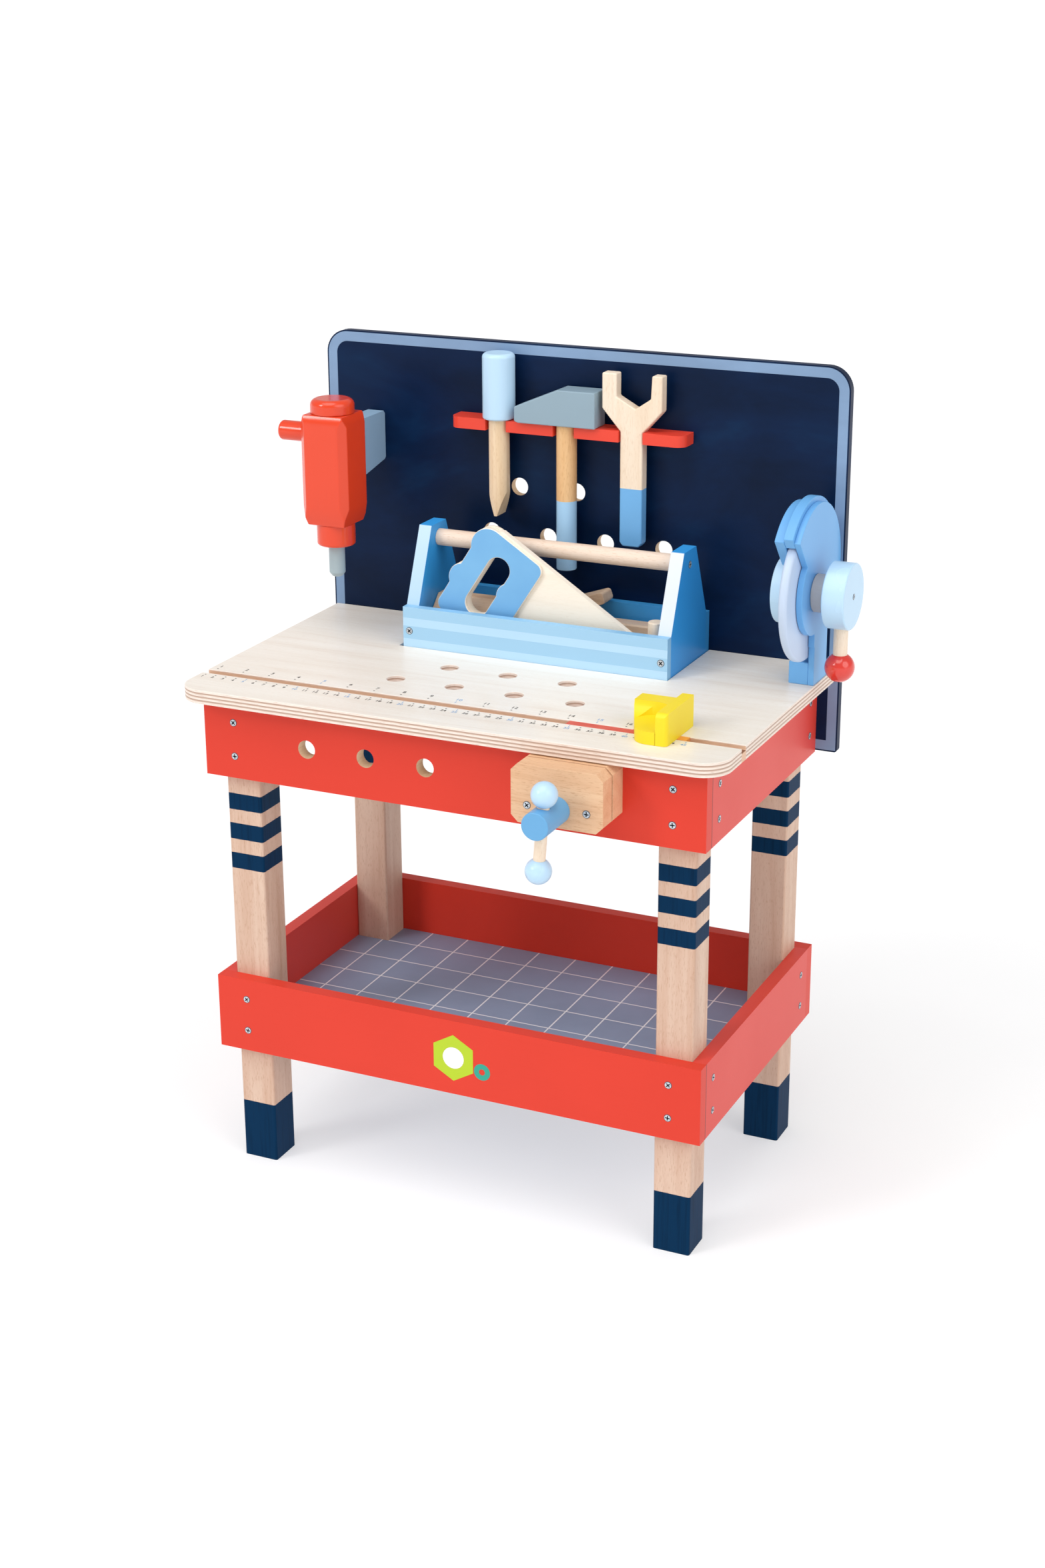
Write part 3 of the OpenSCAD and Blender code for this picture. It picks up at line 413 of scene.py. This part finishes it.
def zinc_material():
    """Plated screw heads, a little cloudy."""
    g = Graph("zinc_plate")
    cloud = g.noise(700, 3, 0.6)
    colour = g.ramp(cloud, [(0.3, rgb("A9B2BC")), (0.7, rgb("DDE2E7"))])
    return g.surface(colour, g.math("MULTIPLY_ADD", cloud, 0.25, 0.25), cloud, 0.15, 0.1 * MM, metallic=0.35)


def recess_material():
    """Painted shade for the inside of a screw's cross recess and for the ring round its rim."""
    g = Graph("zinc_recess")
    cloud = g.noise(900, 3, 0.6)
    colour = g.ramp(cloud, [(0.3, rgb("24343F")), (0.7, rgb("3C4E5A"))])
    return g.surface(colour, g.math("MULTIPLY_ADD", cloud, 0.2, 0.35), cloud, 0.1, 0.1 * MM, metallic=0.3)


def ink_material(name, code):
    """Rule ink, slightly worn where the wood shows through."""
    g = Graph(name)
    fade = g.noise(1400, 2, 0.5)
    colour = g.mix(g.math("MULTIPLY", fade, 0.12), rgb(code), rgb("D9CDBE"))
    return g.surface(colour, 0.5, fade, 0.05, 0.1 * MM)


def badge_material(name, code):
    """Thin printed film with a slight drift in tone."""
    g = Graph(name)
    drift = g.noise(60, 3, 0.5)
    colour = g.mix(g.math("MULTIPLY", drift, 0.3), rgb(code), g.shaded(rgb(code), 0.85))
    return g.surface(colour, 0.38, drift, 0.05, 0.1 * MM)


MAT = {
    "red": paint("red_board_paint", "DC3C2A", "X", roughness=0.40, tone=0.07, specular=0.25),
    "red_side": side_board_material(),
    "red_rack": paint("rack_paint", "EA4632", "X", roughness=0.36, tone=0.07, specular=0.35),
    "drill": paint("drill_paint", "E4431F", "Z", roughness=0.2, tone=0.08, coat=0.5, specular=0.3),
    "ball": paint("ball_paint", "E0382C", "Z", roughness=0.16, coat=0.6, specular=0.5),
    "mid_blue": paint("mid_blue_paint", "6FB0E8", "Z", roughness=0.36, tone=0.09),
    "end_blue": end_panel_material(),
    "box_back_blue": paint("box_back_paint", "46A4E6", "X", roughness=0.36, tone=0.08, specular=0.3),
    "light_blue": paint("light_blue_paint", "BDDDF5", "Z", roughness=0.27, tone=0.06, specular=0.45),
    "boss_blue": paint("boss_blue_paint", "68A7D6", "Y", roughness=0.36, tone=0.06),
    "wheel": paint("wheel_paint", "C3D3EA", "Z", roughness=0.40, tone=0.06),
    "steel_grey": paint("grey_tool_paint", "93AAB8", "X", roughness=0.42, tone=0.12),
    "bracket_grey": paint("bracket_paint", "96B5D0", "Z", roughness=0.40, tone=0.10),
    "bit_grey": paint("bit_paint", "A4B4BA", "Z", roughness=0.38, tone=0.08),
    "spacer_grey": paint("spacer_paint", "C0BCBB", "X", roughness=0.46, tone=0.16, grain=1.8),
    "yellow": paint("slider_paint", "F5DC26", "Z", roughness=0.42, tone=0.06, specular=0.3),
    "tape": tape_material(),
    "worktop": worktop_material(),
    "backboard": backboard_material(),
    "raw_edge": wood("board_raw_edge", (rgb("E9D2B4"), rgb("DBBE9A"), rgb("C4A27C")), "Y", 1.0, 0.6),
    "tray_floor": tray_floor_material(),
    "stripes": striped_material(),
    "cheek": cheek_material(),
    "blade": wood("saw_blade_ply", (rgb("FAF1E2"), rgb("F5EADA"), rgb("E9D9C1")), "X", 0.5, 0.5),
    "box_floor": wood("box_floor_ply", (rgb("EFDEC4"), rgb("E4CFB0"), rgb("D2B994")), "X", 0.7, 0.55),
    "beech_x": wood("beech_long", BEECH, "X", 0.9),
    "pale_x": wood("pale_beech_long", PALE_BEECH, "X", 0.9),
    "handle": wood("box_handle_wood", (rgb("EBD8C8"), rgb("E4CDB9"), rgb("CFAF94")), "X", 1.2),
    "pale_z": wood("pale_beech_upright", PALE_BEECH, "Z", 0.9),
    "loose_wood": wood("loose_wood", (rgb("F2D9C0"), rgb("E8C6A6"), rgb("CDA380")), "X", 1.0),
    "jaw": wood("vise_jaw_wood", ORANGE_BEECH, "X", 1.1, 0.48),
    "screw_driver_shaft": wood("screwdriver_shaft_wood", (rgb("F2DCBE"), rgb("E9CDA8"), rgb("D3AC80")),
                               "Z", 1.0),
    "hammer_handle": two_tone("hammer_handle_wood", (rgb("EDC795"), rgb("E2B37E"), rgb("C58F58")),
                              HAMMER_SPLIT, "A9D3F3"),
    "wrench": two_tone("wrench_wood", PALE_BEECH, WRENCH_SPLIT, "70B0E4"),
    "zinc": zinc_material(),
    "recess": recess_material(),
    "ink": ink_material("rule_ink", "1E1A18"),
    "ink_blue": ink_material("rule_ink_blue", "6FA3D4"),
    "lime": badge_material("badge_lime", "B4CE14"),
    "white": badge_material("badge_white", "F7F7F0"),
    "teal": badge_material("badge_teal", "1FA08A"),
}
for index, side in enumerate(LEGS):
    MAT["leg_" + side] = leg_material("leg_wood_" + side, (3.1 * index, 1.7 * index, 0.9 * index))


# ---------------------------------------------------------------- mesh tools
HARD_EDGE = math.radians(28)
WALL_SLACK = 1.2 * MM


def mesh_of(bm, name):
    """Turns a working mesh into a finished one."""
    mesh = bpy.data.meshes.new(name)
    bm.to_mesh(mesh)
    bm.free()
    return mesh


def new_piece(name, mesh, body, materials):
    """An object that rides a body."""
    obj = bpy.data.objects.new(name, mesh)
    bpy.context.scene.collection.objects.link(obj)
    for m in materials:
        mesh.materials.append(MAT[m])
    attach(obj, body)
    return obj


def body_of_node(node):
    """The body that a CAD node belongs to."""
    return next(b for b, members in frame["record"]["behaviour"]["bodies"].items() if node in members)


def welded(mesh):
    """A working copy of a mesh with its shared points joined."""
    bm = bmesh.new()
    bm.from_mesh(mesh)
    bmesh.ops.remove_doubles(bm, verts=bm.verts, dist=WELD)
    return bm


def cleaned(node):
    """A CAD node's mesh with the triangles of each flat face merged."""
    bm = welded(NODES[node].data)
    bmesh.ops.dissolve_limit(bm, angle_limit=math.radians(0.4), verts=bm.verts, edges=bm.edges,
                             use_dissolve_boundaries=False)
    return bm


def shade(mesh, angle=32):
    """Smooth shading below an angle in degrees; each corner's normal leans to the larger faces round it."""
    for p in mesh.polygons:
        p.use_smooth = True
    mesh.set_sharp_from_angle(angle=math.radians(angle))
    limit = math.cos(math.radians(angle + 8))
    normals = [p.normal.copy() for p in mesh.polygons]
    areas = [p.area for p in mesh.polygons]
    around = [[] for _ in mesh.vertices]
    for p in mesh.polygons:
        for v in p.vertices:
            around[v].append(p.index)
    corner = [None] * len(mesh.loops)
    for p in mesh.polygons:
        own = normals[p.index]
        for loop in p.loop_indices:
            total = Vector()
            for q in around[mesh.loops[loop].vertex_index]:
                if own.dot(normals[q]) > limit:
                    total += normals[q] * areas[q]
            corner[loop] = total.normalized() if total.length > 0 else own
    mesh.normals_split_custom_set(corner)


def soften(node, material, width, segments=3, chooser=None, second=None):
    """A copy of a CAD node with every hard edge eased, which stands for it in the picture.

    The faces that the chooser picks take the second material.
    """
    bm = cleaned(node)
    sharp = [e for e in bm.edges if len(e.link_faces) == 2 and e.calc_face_angle(0.0) > HARD_EDGE]
    bmesh.ops.bevel(bm, geom=sharp, offset=width * MM, offset_type="OFFSET", segments=segments, profile=0.5,
                    affect="EDGES", clamp_overlap=True, harden_normals=False)
    materials = [material]
    if chooser:
        materials.append(second)
        for f in bm.faces:
            f.material_index = 1 if chooser(f) else 0
    bm.normal_update()
    mesh = mesh_of(bm, node + "_eased")
    shade(mesh)
    obj = new_piece(node + "_eased", mesh, body_of_node(node), materials)
    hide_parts(node)


def hole_wall(mount_start):
    """Chooses the walls of the round holes that run along Y through the mounts of one name."""
    holes = [Vector(m["pos_m"]) for n, m in MOUNTS.items() if n.startswith(mount_start)]

    def chooser(f):
        if abs(f.normal.y) > 0.5:
            return False
        c = f.calc_center_median()
        return any(abs(math.hypot(c.x - h.x, c.z - h.z) - HOLE_R) < WALL_SLACK for h in holes)

    return chooser


# ---------------------------------------------------------------- frame, boards, worktop
def build_frame():
    """The legs, the boards and the worktop, with raw wood in the peg holes of the painted boards."""
    for side in LEGS:
        soften("leg_" + side, "leg_" + side, 0.7, 2)
    soften("apron_front", "red", 0.9, chooser=hole_wall("apron_peg_hole"), second="raw_edge")
    for node in ("apron_left", "apron_right", "tray_left_board", "tray_right_board"):
        soften(node, "red_side", 0.9)
    for node in ("tray_front_board", "tray_rear_board"):
        soften(node, "red", 0.9)
    soften("tray_floor", "tray_floor", 0.4, 2)
    soften("worktop", "worktop", 0.7)
    soften("backboard", "backboard", 0.8, chooser=hole_wall("backboard_peg_hole"), second="raw_edge")
    soften("tool_rack", "red_rack", 1.4)


# ---------------------------------------------------------------- screw heads
HEAD_SMOOTH = 40


def stamp(bm, mesh, matrix):
    """Adds a moved copy of a mesh to a working mesh."""
    start = len(bm.verts)
    bm.from_mesh(mesh)
    bm.verts.ensure_lookup_table()
    bmesh.ops.transform(bm, matrix=matrix, verts=bm.verts[start:])


def islands(mesh):
    """The separate solids of a mesh, as lists of points."""
    bm = welded(mesh)
    seen, groups = set(), []
    for v in bm.verts:
        if v in seen:
            continue
        stack, group = [v], []
        seen.add(v)
        while stack:
            a = stack.pop()
            group.append(a.co.copy())
            for e in a.link_edges:
                b = e.other_vert(a)
                if b not in seen:
                    seen.add(b)
                    stack.append(b)
        groups.append(group)
    bm.free()
    return groups


def next_round(ring):
    """Each member of a closed ring with the one after it."""
    return zip(ring, ring[1:] + ring[:1])


def screw_head_mesh(radius):
    """A countersunk head with a slightly domed rim and a cross recess, pointing up, its rim at z = 0."""
    sides, plate, shadow = 28, 0, 1
    bm = bmesh.new()
    arm, half = radius * 0.62, radius * 0.15
    plus = [(arm, -half), (arm, half), (half, half), (half, arm), (-half, arm), (-half, half), (-arm, half),
            (-arm, -half), (-half, -half), (-half, -arm), (half, -arm), (half, -half)]
    turns = [2 * math.pi * i / sides for i in range(sides)]
    rim = [bm.verts.new((radius * math.cos(a), radius * math.sin(a), 0)) for a in turns]
    shoulder = [bm.verts.new((v.co.x * 0.86, v.co.y * 0.86, 0.28 * MM)) for v in rim]
    low = [bm.verts.new((v.co.x * 0.5, v.co.y * 0.5, -3.0 * MM)) for v in rim]
    mouth = [bm.verts.new((x, y, 0.30 * MM)) for x, y in plus]
    deep = [bm.verts.new((x * 0.62, y * 0.8, -1.3 * MM)) for x, y in plus]
    # The ring from the rim to the shoulder takes the dark recess material as a painted shadow round the
    # countersunk head.
    for lower, upper, tone in ((low, rim, plate), (rim, shoulder, shadow)):
        for (a, b), (c, d) in zip(next_round(lower), next_round(upper)):
            bm.faces.new((a, b, d, c)).material_index = tone
    bm.faces.new(list(reversed(low)))
    for (a, b), (c, d) in zip(next_round(mouth), next_round(deep)):
        bm.faces.new((a, c, d, b)).material_index = shadow
    bm.faces.new(deep).material_index = shadow
    bm.edges.ensure_lookup_table()
    edges = [bm.edges.get(pair) for loop in (shoulder, mouth) for pair in next_round(loop)]
    bmesh.ops.triangle_fill(bm, use_beauty=True, use_dissolve=False, edges=edges)
    bmesh.ops.recalc_face_normals(bm, faces=bm.faces)
    return mesh_of(bm, "screw_head")


def standing(axis, place, turn):
    """A matrix that stands a head on a place, facing along the axis and turned about it."""
    upright = Vector(axis).to_track_quat("Z", "Y").to_matrix().to_4x4()
    return Matrix.Translation(place) @ upright @ Matrix.Rotation(turn, 4, "Z")


def width_near(points, axis, level, mid):
    """How far the points at one end of a screw lie from its axis."""
    return max(math.dist(p, [p[i] if i == axis else mid[i] for i in range(3)]) for p in points
               if abs(p[axis] - level) < 0.5 * MM)


def build_screws(node):
    """Cross-recess heads at every screw of a node, each turned a little differently."""
    head = screw_head_mesh(3.3 * MM)
    bm = bmesh.new()
    for k, points in enumerate(islands(NODES[node].data)):
        lo = Vector([min(p[i] for p in points) for i in range(3)])
        hi = Vector([max(p[i] for p in points) for i in range(3)])
        axis = max(range(3), key=lambda i: (hi - lo)[i])
        mid = (lo + hi) / 2
        up = width_near(points, axis, hi[axis], mid) > width_near(points, axis, lo[axis], mid)
        out, seat = Vector(), mid.copy()
        out[axis] = 1 if up else -1
        seat[axis] = (hi if up else lo)[axis]
        stamp(bm, head, standing(out, seat, 0.7 + 2.4 * k))
    mesh = mesh_of(bm, node + "_heads")
    shade(mesh, HEAD_SMOOTH)
    obj = new_piece(node + "_heads", mesh, body_of_node(node), ["zinc", "recess"])
    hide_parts(node)


def build_crank_screw():
    """The small screw in the middle of the crank disc's outer face."""
    low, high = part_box("grinder_crank_disc")
    mesh = screw_head_mesh(2.7 * MM)
    mesh.transform(standing((1, 0, 0), (high.x, (low.y + high.y) / 2, (low.z + high.z) / 2), 0.4))
    shade(mesh, HEAD_SMOOTH)
    new_piece("crank_screw_head", mesh, "grinder_rotor", ["zinc", "recess"])


# ---------------------------------------------------------------- printed rule
def text_mesh(text, size):
    """The flat mesh of a printed number, a little bolder than the plain font."""
    curve = bpy.data.curves.new("digit", "FONT")
    curve.body = text
    curve.size = size
    curve.align_x = "CENTER"
    curve.align_y = "CENTER"
    curve.resolution_u = 3
    curve.offset = 0.018 * size
    obj = bpy.data.objects.new("digit", curve)
    bpy.context.scene.collection.objects.link(obj)
    bpy.context.view_layer.update()
    mesh = bpy.data.meshes.new_from_object(obj.evaluated_get(bpy.context.evaluated_depsgraph_get()))
    bpy.data.objects.remove(obj)
    return mesh


def build_rule():
    """Centimetre numbers in front of the groove and inch numbers behind it, each beside its mark."""
    ink, blue = bmesh.new(), bmesh.new()
    lift = TOP_Z + PRINT_LIFT
    dash = [(dx * DASH_HALF[0], dy * DASH_HALF[1]) for dx, dy in ((-1, -1), (1, -1), (1, 1), (-1, 1))]
    for start, pitch, count, row, dot_r, size, number_row in (CM_MARKS, INCH_MARKS):
        dot = [(dot_r * math.cos(a * math.pi / 4), dot_r * math.sin(a * math.pi / 4)) for a in range(8)]
        for k in range(1, count + 1):
            x, y = MID_X - start + k * pitch, GROOVE_Y + row
            target, mark = (blue, dash) if k % FIVES == 0 else (ink, dot)
            target.faces.new([target.verts.new((x + dx, y + dy, lift)) for dx, dy in mark])
            stamp(target, text_mesh(str(k), size), Matrix.Translation((x, y + number_row, lift)))
    for name, bm, material in (("rule_numbers", ink, "ink"), ("rule_fives", blue, "ink_blue")):
        new_piece(name, mesh_of(bm, name), "frame", [material])


# ---------------------------------------------------------------- badge on the tray
def printed(name, material, outline, hole=()):
    """A thin printed shape standing on the tray's front board; outline and hole are in X and Z."""
    bm = bmesh.new()
    edges = []
    for loop in (outline, hole):
        ring = [bm.verts.new((x, tray_front_lo.y - BADGE_PROUD, z)) for x, z in loop]
        edges += [bm.edges.new(pair) for pair in next_round(ring)]
    bmesh.ops.triangle_fill(bm, use_beauty=True, use_dissolve=False, edges=edges)
    made = bmesh.ops.extrude_face_region(bm, geom=bm.faces[:])
    moved = [v for v in made["geom"] if isinstance(v, bmesh.types.BMVert)]
    bmesh.ops.translate(bm, verts=moved, vec=(0, BADGE_THICK, 0))
    bmesh.ops.recalc_face_normals(bm, faces=bm.faces)
    new_piece(name, mesh_of(bm, name), "frame", [material])


def circle(cx, cz, r, sides=40, start=0.0):
    """Points round a circle in X and Z."""
    turns = [start + 2 * math.pi * i / sides for i in range(sides)]
    return [(cx + r * math.cos(a), cz + r * math.sin(a)) for a in turns]


def build_badge():
    """A plain hexagon nut with a pale bore and a small round washer beside it."""
    cx, cz = MID_X + 3.5 * MM, tray_front_lo.z + 34 * MM
    wx, wz = cx + 27 * MM, cz - 8 * MM
    printed("badge_nut", "lime", circle(cx, cz, 21.5 * MM, 6, math.pi / 6), circle(cx, cz, 10 * MM))
    printed("badge_bore", "white", circle(cx, cz, 9.9 * MM))
    printed("badge_washer", "teal", circle(wx, wz, 7.6 * MM), circle(wx, wz, 2.8 * MM))


# ---------------------------------------------------------------- tools, box, grinder, vise
def build_parts():
    """Everything that stands on, hangs from or slides along the frame: material and eased edge in mm."""
    plan = {
        "toolbox_front": ("stripes", 0.8), "toolbox_back": ("box_back_blue", 0.8),
        "toolbox_left_end": ("end_blue", 0.9), "toolbox_right_end": ("end_blue", 0.9),
        "toolbox_floor": ("box_floor", 0.3), "toolbox_handle": ("handle", 0.5),
        "saw_blade": ("blade", 0.5), "saw_handle": ("cheek", 0.9),
        "wood_plank": ("loose_wood", 0.6), "wood_bar": ("loose_wood", 0.6),
        "wood_block": ("loose_wood", 0.8), "wood_peg": ("pale_z", 0.6),
        "screwdriver_handle": ("light_blue", 0.8), "screwdriver_shaft": ("screw_driver_shaft", 0.5),
        "hammer_head": ("steel_grey", 1.0), "hammer_handle": ("hammer_handle", 0.8),
        "wrench": ("wrench", 1.3),
        "drill_bracket": ("bracket_grey", 1.8), "drill_body": ("drill", 0.8),
        "drill_side_handle": ("drill", 0.5), "drill_knob": ("drill", 0.5), "drill_chuck": ("drill", 0.5),
        "drill_bit": ("bit_grey", 0.6),
        "grinder_base": ("mid_blue", 0.8), "grinder_side_plate": ("mid_blue", 1.0),
        "grinder_guard_core": ("mid_blue", 0.8), "grinder_guard_plate": ("mid_blue", 0.8),
        "grinder_wheel": ("wheel", 0.5), "grinder_axle": ("pale_x", 0.4),
        "grinder_spacer": ("spacer_grey", 0.6),
        "grinder_hub": ("light_blue", 0.8), "grinder_crank_disc": ("light_blue", 0.8),
        "grinder_crank_arm": ("pale_z", 0.3), "grinder_crank_ball": ("ball", 0.3),
        "vise_rear_jaw": ("jaw", 2.0), "vise_front_jaw": ("jaw", 2.2), "vise_guide_rods": ("beech_x", 0.3),
        "vise_screw": ("boss_blue", 0.6), "vise_bar": ("pale_z", 0.3), "vise_bar_balls": ("light_blue", 0.3),
        "tape_slider": ("yellow", 1.7), "tape_runner": ("tape", 0.15),
    }
    for node, (material, width) in plan.items():
        soften(node, material, width)


# ---------------------------------------------------------------- floor, light, camera
FLOOR_HALF = 40.0  # metres
FLOOR_GLOW = 0.45
# The air is bright up to the first height of the view direction and dimmer from the second one on.
AIR = (("From Min", 0.09), ("From Max", 0.13), ("To Min", 1.0), ("To Max", 0.44))
# Direction, strength and angular size in degrees of each light.
SUNS = {
    "top_light": ((0.05, 0.38, -1.0), 1.45, 50),
    "key_light": ((0.52, 0.67, -0.53), 0.85, 18),
    "side_light": ((-0.80, 0.30, -0.50), 0.9, 45),
}
# The camera as solved from the photo's straight edges, in metres and degrees.
CAMERA_PLACE = (0.8374, -1.7684, 1.0774)
CAMERA_TURN = (69.9452, 0.3153, 24.9899)
CAMERA_LENS = 56.16


def build_floor():
    """A white paper floor that glows a little, so that it stays pale to the horizon."""
    bm = bmesh.new()
    bmesh.ops.create_grid(bm, x_segments=8, y_segments=8, size=FLOOR_HALF)
    mesh = mesh_of(bm, "studio_floor")
    floor = bpy.data.objects.new("studio_floor", mesh)
    bpy.context.scene.collection.objects.link(floor)
    g = Graph("studio_floor_paper")
    cloud = g.noise(3, 3, 0.5)
    paper = g.ramp(cloud, [(0.3, (0.55, 0.55, 0.555, 1)), (0.7, (0.57, 0.57, 0.57, 1))])
    g.bsdf.inputs["Emission Color"].default_value = (1.0, 1.0, 1.0, 1)
    g.bsdf.inputs["Emission Strength"].default_value = FLOOR_GLOW
    mesh.materials.append(g.surface(paper, 0.65, cloud, 0.02, 0.5 * MM, specular=0.2))


def build_air():
    """White surroundings, brighter near and below the horizon than overhead."""
    world = bpy.data.worlds.new("studio_air")
    bpy.context.scene.world = world
    world.use_nodes = True
    air = world.node_tree
    air.nodes["Background"].inputs["Color"].default_value = (1.0, 1.0, 1.0, 1)
    direction = air.nodes.new("ShaderNodeTexCoord")
    height = air.nodes.new("ShaderNodeSeparateXYZ")
    level = air.nodes.new("ShaderNodeMapRange")
    air.links.new(direction.outputs["Generated"], height.inputs[0])
    air.links.new(height.outputs["Z"], level.inputs["Value"])
    for socket, value in AIR:
        level.inputs[socket].default_value = value
    air.links.new(level.outputs["Result"], air.nodes["Background"].inputs["Strength"])


def build_lights():
    """Soft suns from above, from the front left and from the right."""
    for name, (direction, strength, angle) in SUNS.items():
        data = bpy.data.lights.new(name, "SUN")
        data.energy = strength
        data.angle = math.radians(angle)
        obj = bpy.data.objects.new(name, data)
        bpy.context.scene.collection.objects.link(obj)
        obj.rotation_mode = "QUATERNION"
        obj.rotation_quaternion = Vector(direction).to_track_quat("-Z", "Y")


def build_camera():
    """The photo's camera, with plain colour handling."""
    camera = bpy.data.cameras.new("camera")
    camera.sensor_width = 36.0
    camera.lens = CAMERA_LENS
    camera.clip_start, camera.clip_end = 0.05, 200.0
    holder = bpy.data.objects.new("camera", camera)
    bpy.context.scene.collection.objects.link(holder)
    holder.location = CAMERA_PLACE
    holder.rotation_euler = [math.radians(a) for a in CAMERA_TURN]
    bpy.context.scene.camera = holder
    view = bpy.context.scene.view_settings
    view.view_transform = "Standard"
    view.look = "None"
    view.exposure = 0.0


build_frame()
build_parts()
for screws in ("frame_screws", "toolbox_screws", "vise_jaw_screws"):
    build_screws(screws)
build_crank_screw()
build_rule()
build_badge()
build_floor()
build_air()
build_lights()
build_camera()
